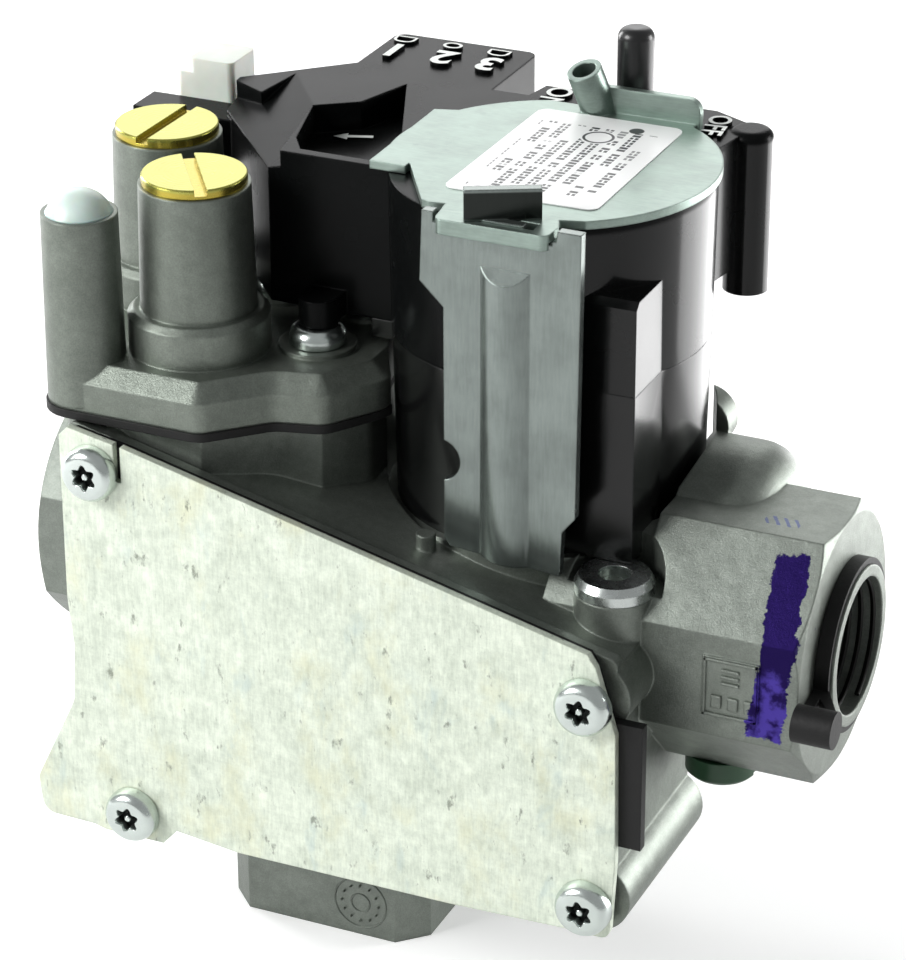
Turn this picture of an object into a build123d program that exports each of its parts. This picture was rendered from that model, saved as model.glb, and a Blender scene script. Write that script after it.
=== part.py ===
from build123d import *
import os
from math import cos, radians

# Combination gas control valve for a furnace: a die-cast body with an inlet and
# an outlet on one line, a stamped cover on the front, a two-tower pressure
# regulator at the outlet end and a solenoid operator clamped by a steel yoke.
#
# Frame (mm): the origin is the centre of the inlet mouth, +X leaves the inlet,
# -Y is the front (the stamped cover) and +Z is up (the operator).

# ---- driving dimensions -------------------------------------------------------
PORT_LINE = 120.2          # inlet mouth to outlet face
PORT_FLATS = 37.5          # octagon across flats
PORT_BORE_R = 9.9          # 1/2 in pipe thread, wall radius at the mouth
PORT_THREAD_L = 16.0
PASSAGE_R = 7.6
SPIGOT_R, SPIGOT_L = 11.5, 2.5
SEAT_R = 23.45             # round operator seat on the casting

BODY_LEFT, BODY_RIGHT = -109.0, -25.4
BODY_FRONT, BODY_BACK = -27.2, 20.0
BODY_FLOOR = -37.0
DECK_LEFT, DECK_FALL = 25.8, 0.244        # height at the left end, drop per mm

COVER_FRONT, COVER_T = -30.0, 1.2
GASKET_T = 1.6
SCREW_R, SCREW_HEAD_R, SCREW_HEAD_H = 2.1, 4.1, 2.7
COVER_SCREWS = [(-103.8, 19.9), (-99.6, -34.7), (-28.4, -32.3), (-28.9, -0.5)]
SCREW_BOSSES = [(31.0, 4.6), (31.0, 4.6), (28.7, 5.5), (15.2, 5.5)]      # length, radius

PAD_CENTRE_X, PAD_HALF, PAD_CHAMFER, PAD_BOTTOM = -76.4, 16.1, 4.0, -56.4

REG_BOTTOM, REG_TOP = 27.2, 34.0
DIAPHRAGM_T = 1.2
TOWER_FRONT, TOWER_REAR = (-95.2, -12.8), (-108.0, 3.1)
TOWER_TOP, TOWER_R_TOP, TOWER_R_FOOT, TOWER_BORE_R = 58.6, 7.9, 8.3, 6.2
COLLAR_R, COLLAR_TOP = 10.1, 40.2
CAP_BORE_R, CAP_BORE_DEPTH = 6.6, 6.2
VENT_AXIS, VENT_TOP, VENT_R = (-108.6, -21.8), 55.3, 5.4
LUG_SCREW = (-79.8, -6.5)
REG_SCREWS = [LUG_SCREW, (-79.0, 8.0), (-93.4, 8.2)]
CAP_R, CAP_HEAD_H = 7.45, 1.4

COIL_AXIS = (-49.3, 6.3)
COIL_HOUSING_R = 22.5
SEAT_TOP = 12.5            # the casting's round seat under the operator
SEAM = 38.0                # joint between the two housing mouldings
HOUSING_TOP = 61.0
HOUSING_WALL = 2.5
BOX_FLOOR = 16.5           # underside of the square front of the coil housing
BLOCK_FRONT = -3.0         # front wall of the housing's left block
BLOCK_REAR = 36.3
HOOD_LEFT, HOOD_RIGHT, HOOD_REAR, HOOD_BOTTOM = -92.6, -69.6, 48.8, 50.0

TERMINALS = [-88.9, -81.1, -73.3]         # three blades, side by side
TERMINAL_ROOT = 37.6

SERVO_AXIS = (-78.6, 22.4)
CLOSING_T = 1.6

YOKE_T = 1.2
STRAP_FRONT, STRAP_T = -18.8, 1.5
RIB_X, RIB_HALF, RIB_H, RIB_TOP = -45.7, 3.6, 1.5, 56.6
YOKE_R = 23.35
YOKE_TOP = HOUSING_TOP + 0.1 + YOKE_T
UPRIGHT_Y, UPRIGHT_TOP = 27.6, 66.0

FOOT_AXIS, FOOT_SEAT = (-30.3, -16.2), 10.2

LEVER_AXIS, LEVER_R, LEVER_TOP, LEVER_TRAVEL = (-47.4, 31.8), 2.65, 73.6, 5.5

PLUNGER_R, PLUNGER_TRAVEL = 7.0, 2.5
SEAT_WASHER_Z = 42.0       # underside of the adjusters' spring seats, at rest
RUN = 0.06                 # radial running clearance


# ---- small helpers --------------------------------------------------------------
def outline(points, radius=0.0):
    face = make_face(Polyline(*points, close=True))
    return fillet(face.vertices(), radius) if radius else face


def rise(face, z0, z1, taper=0.0):
    return extrude(Plane.XY.offset(z0) * face, amount=z1 - z0, taper=taper)


def front_slab(face, y_back, y_front):
    """A face drawn in X and Z, from y_back forwards to y_front."""
    return extrude(Plane.XZ.offset(-y_back) * face, amount=y_back - y_front)


def post(x, y, z0, z1, r0, r1=None):
    if r1 is None:
        return Pos(x, y, (z0 + z1) / 2) * Cylinder(r0, z1 - z0)
    return Pos(x, y, (z0 + z1) / 2) * Cone(r0, r1, z1 - z0)


def along_x(x0, x1, r, y=0.0, z=0.0):
    return Pos((x0 + x1) / 2, y, z) * Rot(0, 90, 0) * Cylinder(r, x1 - x0)


def along_y(x, z, y0, y1, r):
    return Pos(x, (y0 + y1) / 2, z) * Rot(90, 0, 0) * Cylinder(r, y1 - y0)


def brick(x0, x1, y0, y1, z0, z1):
    return Pos((x0 + x1) / 2, (y0 + y1) / 2, (z0 + z1) / 2) * Box(x1 - x0, y1 - y0, z1 - z0)


def turned(profile, x=0.0, y=0.0):
    """Revolve (radius, height) points about a vertical axis."""
    return Pos(x, y, 0) * revolve(Plane.XZ * make_face(Polyline(*profile, close=True)), Axis.Z)


def deck(x):
    return DECK_LEFT - DECK_FALL * (x - BODY_LEFT)


# ---- valve body -------------------------------------------------------------------
def octagon_port(x_mouth, x_root):
    """Wrench octagon with a turned lead-in chamfer on its mouth end."""
    half = PORT_FLATS / 2
    corner = half / cos(radians(22.5))
    direction = 1 if x_mouth > x_root else -1
    face = RegularPolygon(corner, 8, rotation=22.5)
    plane = Plane(origin=(x_root, 0, 0), x_dir=(0, 1, 0), z_dir=(direction, 0, 0))
    length = abs(x_mouth - x_root)
    block = extrude(plane * face, amount=length)
    blank = Pos(0, 0, length / 2) * Cylinder(corner + 0.2, length)
    blank = chamfer(blank.edges().group_by(Axis.Z)[-1], 0.95, 1.75)
    return block & (plane.location * blank)


def body_shell():
    """Main block: flat floor, sloping deck, front flange face for the cover."""
    x0, x1 = BODY_LEFT, BODY_RIGHT
    side = outline([(x0, BODY_FLOOR), (x1, BODY_FLOOR), (x1, deck(x1)), (x0, deck(x0))], 1.2)
    shell = front_slab(side, BODY_BACK, BODY_FRONT)
    # the deck lies lower behind the rim that carries the cover
    low = [(x0 - 1, deck(x0) - 1.2), (x1 + 1, deck(x1) - 1.2), (x1 + 1, 60), (x0 - 1, 60)]
    shell -= front_slab(outline(low), BODY_BACK + 1, BODY_FRONT + 2.0)
    # the right end is cut away behind, under the inlet neck
    relief = outline([(x1, 1.5), (x1 + 5, 1.5), (x1 + 5, 22), (-38, 22), (-38, BODY_BACK)])
    shell -= rise(relief, BODY_FLOOR - 1, -PORT_FLATS / 2)
    for (x, z), (reach, radius) in zip(COVER_SCREWS, SCREW_BOSSES):
        shell += along_y(x, z, BODY_FRONT, BODY_FRONT + reach, radius)
    return shell


def flange_outline(grow=0.0, radius=5.0):
    """Plan of the regulator cover: wide at the towers, stepped back at the lug."""
    pts = [(-114.2, -27.0), (-88.3, -27.0), (-80.5, -19.2), (-73.6, -17.4),
           (-68.2, -9.0), (-68.2, 13.6), (-114.2, 13.6)]
    face = outline(pts)
    for x, y, r in ((-88.3, -27.0, 3.0), (-80.5, -19.2, 4.0), (-73.6, -17.4, 3.0)):
        face = fillet(face.vertices().sort_by_distance((x, y, 0))[0], r)
    face = fillet(face.vertices().filter_by(lambda v: v.X < -114 or v.X > -68.5), radius)
    face += Pos(*TOWER_REAR) * Circle(11.6)
    return offset(face, grow) if grow else face


def coil_clearance(z0, z1):
    """Room for the round coil housing beside the regulator."""
    return post(*COIL_AXIS, z0, z1, COIL_HOUSING_R + 0.6)


def valve_body():
    body = body_shell()
    body += rise(flange_outline(-2.6), 0, REG_BOTTOM - DIAPHRAGM_T)
    body += octagon_port(-SPIGOT_L, -40.0)
    body += octagon_port(-PORT_LINE, -95.0)
    body += along_x(-SPIGOT_L, 0, SPIGOT_R)
    # round seat for the operator and the domed seat chamber behind the inlet neck
    cx, cy = COIL_AXIS
    body += post(cx, cy, 0, SEAT_TOP, SEAT_R)
    dome = along_x(-44, -13.5, 16.0, 8.5, 6.7)
    body += fillet(dome.edges().group_by(Axis.X)[-1], 7.0)
    body += along_y(-30.0, 22.2, 14.6, 18.6, 4.5)
    body -= post(cx, cy, SEAT_TOP, 40, SEAT_R)
    body -= rise(base_block(0.4), SEAT_TOP, 40)
    body -= brick(-54.4, -27.0, -17.6, 2.0, BOX_FLOOR - 0.4, 40)
    body += post(*FOOT_AXIS, -12, FOOT_SEAT, 5.6)
    body -= post(*FOOT_AXIS, FOOT_SEAT, 40, 6.9)
    # blank outlet boss underneath
    h = PAD_HALF
    foot = chamfer(Rectangle(2 * h, 2 * h).vertices(), PAD_CHAMFER)
    body += Pos(PAD_CENTRE_X, 0, 0) * rise(foot, PAD_BOTTOM, BODY_FLOOR + 6)
    # fine square tag cast on the front flat of the inlet neck
    body += brick(-16.2, -8.0, -PORT_FLATS / 2 - 0.35, -PORT_FLATS / 2 + 1, -4.6, 4.6)
    body += post(-57.6, -18.6, 8, 14.4, 1.4)
    body -= body_passages()
    return body


def body_passages():
    """Gas ways: threaded mouths, seat chamber, lower gallery, regulator wells."""
    cx, cy = COIL_AXIS
    cut = along_x(-PORT_THREAD_L, 0.1, PORT_BORE_R)
    cut += along_x(cx + 6.0, -PORT_THREAD_L + 1, PASSAGE_R)
    cut += along_x(-PORT_LINE - 0.1, -PORT_LINE + PORT_THREAD_L, PORT_BORE_R)
    cut += along_x(-PORT_LINE + PORT_THREAD_L - 1, -92.0, PASSAGE_R)
    cut += post(cx, cy, -4.0, SEAT_TOP + 0.1, 12.6)
    cut += post(cx, cy, SEAT_TOP - 2.0, SEAT_TOP + 0.1, 15.0)
    cut += post(cx, cy, -20.0, -3.9, 7.7)
    cut += along_x(-92.0, cx, 5.5, cy, -17.5)
    cut += post(-88.5, cy, -19.0, 1.0, 4.6)
    for x, y in (TOWER_FRONT, TOWER_REAR):
        cut += post(x, y, 16.0, 26.1, 7.2)
    pocket = outline([(-95, -28), (-38, -28), (-38, -3), (-95, 11)], 3)
    cut += front_slab(pocket, BODY_FRONT + 7.5, BODY_FRONT - 0.1)
    for x, z in COVER_SCREWS:
        cut += along_y(x, z, BODY_FRONT - 0.1, BODY_FRONT + 11, SCREW_R + 0.1)
    for x, y in REG_SCREWS:
        cut += post(x, y, 12.0, 26.1, SCREW_R + 0.1)
    return cut


def inlet_screen():
    """Fine strainer disc with a rim, pressed in behind the inlet thread."""
    rim = along_x(-19.6, -16.4, PASSAGE_R - 0.02) - along_x(-19.8, -16.2, 6.7)
    mesh = along_x(-19.6, -19.0, 6.8)
    for row in range(-2, 3):
        for col in range(-2, 3):
            if row * row + col * col <= 6:
                mesh -= Pos(-19.3, col * 2.3, row * 2.3) * Box(2, 1.5, 1.5)
    return rim + mesh


def valve_seat():
    cx, cy = COIL_AXIS
    return turned([(6.0, -9.0), (7.65, -9.0), (7.65, -4.0), (7.65, -2.6),
                   (6.9, -2.2), (6.0, -2.2)], cx, cy)


# ---- front cover --------------------------------------------------------------------
def cover_outline(shrink=0.0):
    top_l, top_r = (-98.8, 24.3), (-28.6, 7.2)
    pts = [top_l, top_r, (-27.4, 5.4), (-24.4, -4.4), (-24.1, -24.6), (-24.8, -37.0),
           (-31.7, -36.9), (-48.2, -37.4), (-82.6, -37.5), (-92.7, -36.3), (-95.0, -38.9),
           (-104.6, -38.9), (-106.5, -38.4), (-114.9, -38.2), (-115.6, -32.4),
           (-108.7, -17.9), (-108.3, -8.5), (-109.0, -1.2), (-108.9, 24.6), (-107.6, 26.0),
           (-100.5, 24.6)]
    face = outline(pts)
    for x, z, r in ((-108.7, -17.9, 5.0), (-115.6, -32.4, 3.0), (-114.9, -38.2, 2.2),
                    (-24.4, -4.4, 1.6), (-24.8, -37.0, 1.5)):
        face = fillet(face.vertices().sort_by_distance((x, z, 0))[0], r)
    return offset(face, -shrink) if shrink else face


def front_cover_plate():
    face = cover_outline()
    slot = Pos(-99.8, 23.2) * Rectangle(1.1, 8.6)
    face -= slot
    for x, z in COVER_SCREWS:
        face -= Pos(x, z) * Circle(SCREW_R + 0.15)
    return front_slab(face, COVER_FRONT + COVER_T, COVER_FRONT)


def front_cover_gasket():
    face = cover_outline(0.7)
    strip = Pos(-25.0, -12.7) * Rectangle(8.2, 19.3)
    pocket = outline([(-95, -28), (-38, -28), (-38, -3), (-95, 11)], 3)
    face = face + strip - pocket
    for x, z in COVER_SCREWS:
        face -= Pos(x, z) * Circle(SCREW_R + 0.15)
    return front_slab(face, BODY_FRONT, BODY_FRONT - GASKET_T)


def pan_screw(length):
    """Pan head with its underside at z = 0 and its shank going down."""
    h, r = SCREW_HEAD_H, SCREW_HEAD_R
    dome = RadiusArc((r, 0.9), (1.9, h), -r * 1.15)
    path = [Line((0, -length), (SCREW_R - 0.5, -length)), Line((SCREW_R - 0.5, -length), (SCREW_R, 0.6 - length)),
            Line((SCREW_R, 0.6 - length), (SCREW_R, 0)), Line((SCREW_R, 0), (r, 0)),
            Line((r, 0), (r, 0.9)), dome, Line((1.9, h), (0, h)), Line((0, h), (0, -length))]
    screw = revolve(Plane.XZ * make_face(Curve() + path), Axis.Z)
    socket = Pos(0, 0, h - 0.9) * extrude(RegularPolygon(1.7, 6), amount=2)
    return screw - socket


def cover_screws():
    return [Pos(x, COVER_FRONT, z) * Rot(90, 0, 0) * pan_screw(13.0) for x, z in COVER_SCREWS]


# ---- pressure regulator --------------------------------------------------------------
def tower(x, y):
    t = post(x, y, REG_TOP - 3, COLLAR_TOP, COLLAR_R)
    t = chamfer(t.edges().group_by(Axis.Z)[-1], 0.9)
    return t + post(x, y, COLLAR_TOP - 1, TOWER_TOP, TOWER_R_FOOT, TOWER_R_TOP)


def regulator_cover():
    flange = rise(flange_outline(), REG_BOTTOM, REG_TOP)
    flange = chamfer(flange.edges().group_by(Axis.Z)[-1], 2.4)
    cover = flange
    for x, y in (TOWER_FRONT, TOWER_REAR):
        cover += tower(x, y)
    cover += post(*VENT_AXIS, REG_BOTTOM + 0.6, VENT_TOP, VENT_R + 0.3, VENT_R)
    for x, y in REG_SCREWS:
        cover += post(x, y, REG_BOTTOM, REG_TOP + 0.6, 5.6)
    for x, y in (TOWER_FRONT, TOWER_REAR):
        cover -= post(x, y, REG_BOTTOM - 0.1, TOWER_TOP + 0.1, TOWER_BORE_R)
        cover -= post(x, y, TOWER_TOP - CAP_BORE_DEPTH, TOWER_TOP + 0.1, CAP_BORE_R)
        cover -= post(x, y, REG_BOTTOM - 0.1, REG_BOTTOM + 2.2, 9.2)
    cover -= post(*VENT_AXIS, REG_BOTTOM + 3, VENT_TOP + 0.1, 3.1)
    for x, y in REG_SCREWS:
        cover -= post(x, y, REG_BOTTOM - 0.1, REG_TOP + 0.7, SCREW_R + 0.15)
    return cover - coil_clearance(REG_BOTTOM - 1, REG_TOP + 1)


def regulator_diaphragm():
    sheet = rise(flange_outline(0.35), REG_BOTTOM - DIAPHRAGM_T, REG_BOTTOM)
    for x, y in REG_SCREWS:
        sheet -= post(x, y, 25, 28, SCREW_R + 0.15)
    return sheet - coil_clearance(25, 28)


def diaphragm_plate(x, y):
    """Pressed cup on top of the diaphragm that carries the spring."""
    z = REG_BOTTOM
    return turned([(0, z), (8.4, z), (8.4, z + 0.7), (4.5, z + 0.7), (4.3, z + 2.0),
                   (3.4, z + 2.0), (3.4, z + 0.9), (0, z + 0.9)], x, y)


def regulator_screws():
    return [Pos(x, y, REG_TOP + 0.6) * pan_screw(16.0) for x, y in REG_SCREWS]


def coil_spring(x, y, z0, z1, radius, wire, turns):
    rise_height = z1 - z0 - 2 * wire
    path = Helix(pitch=rise_height / turns, height=rise_height, radius=radius)
    section = Plane(origin=path @ 0, z_dir=path % 0) * RegularPolygon(wire, 4)
    return Pos(x, y, z0 + wire) * sweep(section, path=path, is_frenet=True)


def regulator_spring(x, y):
    return coil_spring(x, y, REG_BOTTOM + 0.75, SEAT_WASHER_Z, 5.2, 0.5, 5)



def spring_seat(x, y):
    z = SEAT_WASHER_Z
    return turned([(0, z), (TOWER_BORE_R - RUN, z), (TOWER_BORE_R - RUN, z + 1.6), (3.0, z + 1.6),
                   (3.0, z + 2.4), (0, z + 2.4)], x, y)


def adjuster(x, y):
    """Nylon adjusting screw with a hexagon key socket."""
    z = SEAT_WASHER_Z + 2.4
    body = post(x, y, z, z + 5.0, TOWER_BORE_R - RUN)
    body = chamfer(body.edges().group_by(Axis.Z)[-1], 0.5)
    return body - Pos(x, y, z + 1.8) * extrude(RegularPolygon(2.75, 6), amount=5)


def brass_cap(x, y, slot_angle):
    """Slotted cap: thin flat head over a threaded skirt with a seal neck."""
    top, head = TOWER_TOP + 0.05 + CAP_HEAD_H, TOWER_TOP + 0.05
    skirt_r = CAP_BORE_R - RUN
    profile = [(0, top), (CAP_R - 0.2, top), (CAP_R, top - 0.2), (CAP_R, head), (5.4, head),
               (5.4, head - 1.6), (skirt_r, head - 1.6), (skirt_r, head - 4.6),
               (skirt_r - 0.5, head - 5.1), (4.4, head - 5.1), (4.4, head - 1.6), (0, head - 1.6)]
    cap = turned(profile, x, y)
    return cap - Pos(x, y, top) * Rot(0, 0, slot_angle) * Box(2 * CAP_R + 1, 1.8, 1.8)


def cap_seal(x, y):
    head = TOWER_TOP + 0.05
    seal = post(x, y, head - 1.45, head - 0.15, CAP_BORE_R - RUN) - post(x, y, 50, 65, 5.42)
    return chamfer(seal.edges(), 0.3)


def vent_plug():
    """Soft dome plug snapped over the vent tower."""
    x, y = VENT_AXIS
    z = VENT_TOP
    foot, height = 4.5, 2.9
    radius = (foot ** 2 + height ** 2) / (2 * height)
    dome = Pos(0, 0, z + 0.4 + height - radius) * Sphere(radius)
    dome &= post(0, 0, z + 0.4, z + 10, foot)
    return Pos(x, y, 0) * (dome + post(0, 0, z, z + 0.4, 4.8, foot) + post(0, 0, z - 4, z, 2.8, 3.0))


# ---- operator housing -----------------------------------------------------------------
def block_outline():
    """Plan of the upper moulding to the left of and behind the coil."""
    return outline([(-88.75, BLOCK_FRONT), (-52, BLOCK_FRONT), (-30, 10), (-31, 22), (-30, 28.5),
                    (-31, 33.5), (-36.5, BLOCK_REAR), (-63.0, BLOCK_REAR), (-63.8, 31.5),
                    (HOOD_RIGHT, 31.5), (HOOD_RIGHT, BLOCK_REAR), (-90.8, BLOCK_REAR), (-92.4, 34.5),
                    (-105.7, 21.6), (-105.2, 16.2)])


def front_box(z0, z1):
    """Square corner that the coil housing has at its front right."""
    return brick(-54.0, -29.05, -13.2, 2.0, z0, z1)


def operator_base():
    cx, cy = COIL_AXIS
    base = post(cx, cy, SEAT_TOP, SEAM, COIL_HOUSING_R - 0.5, COIL_HOUSING_R)
    box = front_box(BOX_FLOOR, SEAM)
    base += box
    base += rise(base_block(), SEAT_TOP, SEAM)
    base += rise(outline([(-73, BLOCK_FRONT), (-60, BLOCK_FRONT), (-60, 27), (-73, 27)]),
                 REG_TOP + 1.2, SEAM)
    foot = post(*FOOT_AXIS, SEAT_TOP + 0.3, 27.4, 6.4, 6.0)
    base += chamfer(foot.edges().group_by(Axis.Z)[-1], 0.8)
    base -= brick(-60, -34.3, STRAP_FRONT - 1, STRAP_FRONT + STRAP_T, 18.0, SEAM)
    base -= post(cx, cy, SEAT_TOP + HOUSING_WALL, SEAM + 0.1, COIL_HOUSING_R - HOUSING_WALL)
    base -= post(cx, cy, 0, SEAM, 8.6)
    return base


def base_block(gap=0.0):
    """Plan of the small square block that fills the gap beside the regulator."""
    left = -67.4 - gap
    return outline([(left, BLOCK_FRONT - gap), (-55, BLOCK_FRONT - gap), (-55, 27 + gap),
                    (left, 27 + gap)])


def mode_recess():
    """Sunk floor on the left block; its front lip stays as high as the top."""
    floor = outline([(-90.6, 15.2), (-84.9, 19.3), (-82.0, 28.7), (-74.1, 10.0), (-70.0, -1.3),
                     (-84.5, -1.3), (-87.0, 2.5)])
    return rise(floor, HOUSING_TOP - 4.4, HOUSING_TOP + 2)


def nose_facet():
    """Shallow flat across the left end of the top; a tongue stays up at the rear corner."""
    rear, inner, front = (-98.9, 26.4, HOUSING_TOP), (-90.8, 15.6, HOUSING_TOP), (-88.75, -3.0, 58.2)
    plane = Plane(Face(Wire.make_polygon([rear, inner, front])))
    if plane.z_dir.Z < 0:
        plane = Plane(origin=rear, z_dir=plane.z_dir * -1)
    over = extrude(plane * Rectangle(140, 140), amount=20)
    reach = outline([(-90.8, 15.6), (-86.8, -3.0), (-86.8, -10), (-120, -10), (-120, 20),
                     (-106.5, 20.6), (-99.9, 17.1), (-98.9, 26.4)])
    return over & rise(reach, 50, 70)


def terminal_hood():
    """Cover over the three blades, standing out at the rear."""
    roof = outline([(HOOD_LEFT, 33.0), (HOOD_RIGHT, 33.0), (HOOD_RIGHT, HOOD_REAR), (HOOD_LEFT, HOOD_REAR)])
    roof = fillet(roof.vertices().group_by(Axis.Y)[-1], 1.8)
    return rise(roof, HOOD_BOTTOM, HOUSING_TOP)


def operator_cover():
    cx, cy = COIL_AXIS
    cover = rise(block_outline(), SEAM, HOUSING_TOP)
    cover += post(cx, cy, SEAM, HOUSING_TOP, COIL_HOUSING_R, COIL_HOUSING_R + 0.3)
    box = front_box(SEAM, 51.6)
    cover += chamfer(box.edges().group_by(Axis.Z)[-1].group_by(Axis.Y)[0], 1.0)
    cover += terminal_hood()
    cover -= nose_facet()
    cover -= mode_recess()
    # rear corner column beside the coil and the web that carries it
    cover -= brick(-40, -20, 10, 40, SEAM - 1, SEAM + 3) - post(cx, cy, 0, 80, COIL_HOUSING_R + 0.2)
    column = post(-29.4, 30.8, 37.0, HOUSING_TOP + 0.4, 3.35)
    cover += fillet(column.edges().group_by(Axis.Z)[-1], 1.4)
    # ledge behind the rear tower with the connector's shelf, and the sleeve over the lug screw
    cover += rise(outline([(-119.8, 14.3), (-102, 14.3), (-99, 20.8), (-119.8, 20.8)]), 50.0, 57.0)
    cover += rise(outline([(-119.8, 14.3), (-102, 14.3), (-99, 22), (-99, 28), (-104, 30), (-119.8, 30)]), 50.0, 53.0)
    x, y = LUG_SCREW
    cover += post(x, y + 0.6, SEAM - 0.6, SEAM + 3.4, 2.9) + brick(x - 2.9, x + 2.9, y + 0.6, 0, SEAM, SEAM + 3.4)
    cover -= operator_cavities()
    return cover


def operator_cavities():
    cx, cy = COIL_AXIS
    inner = COIL_HOUSING_R - HOUSING_WALL
    cut = post(cx, cy, SEAM - 0.1, HOUSING_TOP - HOUSING_WALL, inner)
    cut += post(*SERVO_AXIS, SEAM - 0.1, 51.0, 9.0)
    cut += rise(closing_outline(0.0), SEAM - 0.1, SEAM + CLOSING_T)
    x, y = LEVER_AXIS
    x1 = x + LEVER_TRAVEL
    cut += brick(x - 2.9, x1 + 2.9, y - 2.9, y + 2.9, 55, HOUSING_TOP + 1)
    cut += brick(x - 5.0, x1 + 5.0, y - 3.2, y + 2.3, 51.0, 56.4)
    for x in TERMINALS:
        cut += brick(x - 3.4, x + 3.4, TERMINAL_ROOT, HOOD_REAR + 0.1, 53.2, 58.4)
    return cut


def spade_terminal(x):
    """Quarter-inch blade in its pocket under the hood."""
    root, tip = TERMINAL_ROOT, TERMINAL_ROOT + 8.6
    blade = outline([(x - 3.1, root), (x + 3.1, root), (x + 3.1, tip - 1.4), (x + 2.1, tip),
                     (x - 2.1, tip), (x - 3.1, tip - 1.4)])
    return rise(blade, 55.4, 56.2) - post(x, tip - 3.4, 54, 57, 0.9)


def on_off_lever():
    """Round-topped stalk on a sliding shoe."""
    x, y = LEVER_AXIS
    stalk = post(x, y, 55.0, LEVER_TOP, LEVER_R)
    stalk = fillet(stalk.edges().group_by(Axis.Z)[-1], 1.6)
    return stalk + brick(x - 4.6, x + 4.6, y - 2.9, y + 2.0, 51.3, 56.1)


def nylon_connector():
    """Pale two-step plug housing at the rear left of the operator."""
    low = brick(-116.4, -107.0, 21.6, 29.4, 53.05, 60.6)
    high = brick(-114.2, -107.0, 21.6, 29.4, 60.5, 62.8)
    plug = fillet((low + high).edges().filter_by(Axis.Z), 1.0)
    for x in (-113.6, -109.6):
        plug -= brick(x - 1.4, x + 1.4, 26.0, 30.0, 55.0, 58.5)
    return plug


# ---- yoke --------------------------------------------------------------------------
def yoke_plate():
    """Steel top plate: round over the coil, left ear, front lip, rear upright."""
    cx, cy = COIL_AXIS
    z0, z1 = YOKE_TOP - YOKE_T, YOKE_TOP
    face = Pos(cx, cy) * Circle(YOKE_R)
    face -= outline([(-80, -3.2), (-66.7, -3.2), (-59.3, -15.3), (-56, -30), (-80, -30)])
    face -= outline([(-60, -15.4), (-56.1, -14.8), (-55, -30), (-60, -30)])
    face -= outline([(-39.9, -14.2), (-36.5, -13.2), (-30, -30), (-39, -30)])
    lip = outline([(-56.1, -14.8), (-55.4, -20.3), (-39.2, -20.3), (-38.9, -16.6), (-39.9, -14.2), (-45, -8)])
    for x in (-55.4, -39.2):
        lip = fillet(lip.vertices().sort_by_distance((x, -20.3, 0))[0], 1.2)
    face += lip
    face += outline([(-72.3, -1.0), (-66.7, -3.2), (-50, -3.2), (-36.0, 20), (-36.0, UPRIGHT_Y),
                     (-59.0, 25.7), (-66.6, 19.4), (-72.5, 17.6)])
    face &= Pos(cx, cy) * Pos(0, UPRIGHT_Y - cy - 50) * Rectangle(100, 100)
    face -= Pos(-46.5, -17.6) * Rectangle(9.6, 2.5)
    plate = rise(face, z0, z1)
    upright = brick(-52.0, -35.4, UPRIGHT_Y - YOKE_T, UPRIGHT_Y, z0, UPRIGHT_TOP)
    rounded = upright.edges().filter_by(Axis.Y).group_by(Axis.Z)[-1].group_by(Axis.X)[-1]
    plate += fillet(rounded, 2.0)
    plate += brick(-72.3, -66.9, -4.4, -0.5, z0, z1)
    turned_down = rise(lip & (Pos(-47.3, -20.0) * Rectangle(30, 1.0)), z0 - 1.0, z1)
    return plate + turned_down + rolled_tube()


def rolled_tube():
    """Rolled end of the upright, leaning to the left and forwards."""
    tube = Cylinder(2.55, 7.4, align=(Align.CENTER, Align.CENTER, Align.MIN))
    bore = Pos(0, 0, 1.0) * Cylinder(1.75, 7.4, align=(Align.CENTER, Align.CENTER, Align.MIN))
    foot = Plane(origin=(-50.8, UPRIGHT_Y - 0.7, YOKE_TOP - 0.3), z_dir=(-0.207, -0.332, 0.920))
    return foot * (tube - bore)


def strap_outline():
    z_top = YOKE_TOP - YOKE_T
    z_ear = YOKE_TOP + 0.3
    pts = [(-57.8, z_ear), (-58.2, 52.4), (-54.7, 49.0), (-54.7, 14.4), (-53.9, 13.3),
           (-45.6, 12.6), (-37.5, 11.9), (-37.2, 18.6), (-35.3, 21.0), (-34.8, z_ear),
           (-38.2, z_ear), (-38.4, z_top), (-56.2, z_top), (-56.2, z_ear)]
    bite = Pos(-55.4, 26.3) * Circle(3.1)
    return outline(pts) - bite


def yoke_strap():
    """Front leg of the yoke: pressed half-round rib, open behind, and a twisted lock tab."""
    strap = front_slab(strap_outline(), STRAP_FRONT + STRAP_T, STRAP_FRONT)
    crest = STRAP_FRONT - RIB_H
    radius = (RIB_HALF ** 2 + RIB_H ** 2) / (2 * RIB_H)
    bead = post(RIB_X, crest + radius, 12, RIB_TOP, radius)
    groove = post(RIB_X, crest + radius, 12, RIB_TOP - 2.0, radius - STRAP_T)
    bead &= front_slab(strap_outline(), STRAP_FRONT + 0.5, crest - 1)
    ramp = outline([(STRAP_FRONT + 0.6, RIB_TOP), (crest - 0.1, RIB_TOP - 2.6), (crest - 0.1, RIB_TOP + 1),
                    (STRAP_FRONT + 0.6, RIB_TOP + 1)])
    bead -= extrude(Plane.YZ * ramp, amount=200, both=True)
    strap += bead
    strap -= groove & brick(-60, -30, STRAP_FRONT - 2, STRAP_FRONT + STRAP_T + 0.1, 10, 60)
    tab_x, tab_y = -46.6, STRAP_FRONT + STRAP_T / 2
    strap += brick(tab_x - 3.4, tab_x + 3.4, STRAP_FRONT, STRAP_FRONT + STRAP_T, 59.0, YOKE_TOP + 0.3)
    twisted = Pos(0, 0, 2.2) * Rot(0, 0, 27) * Box(10.4, STRAP_T, 4.4)
    return strap + Pos(tab_x - 0.3, tab_y + 1.2, YOKE_TOP + 0.08) * twisted


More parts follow.
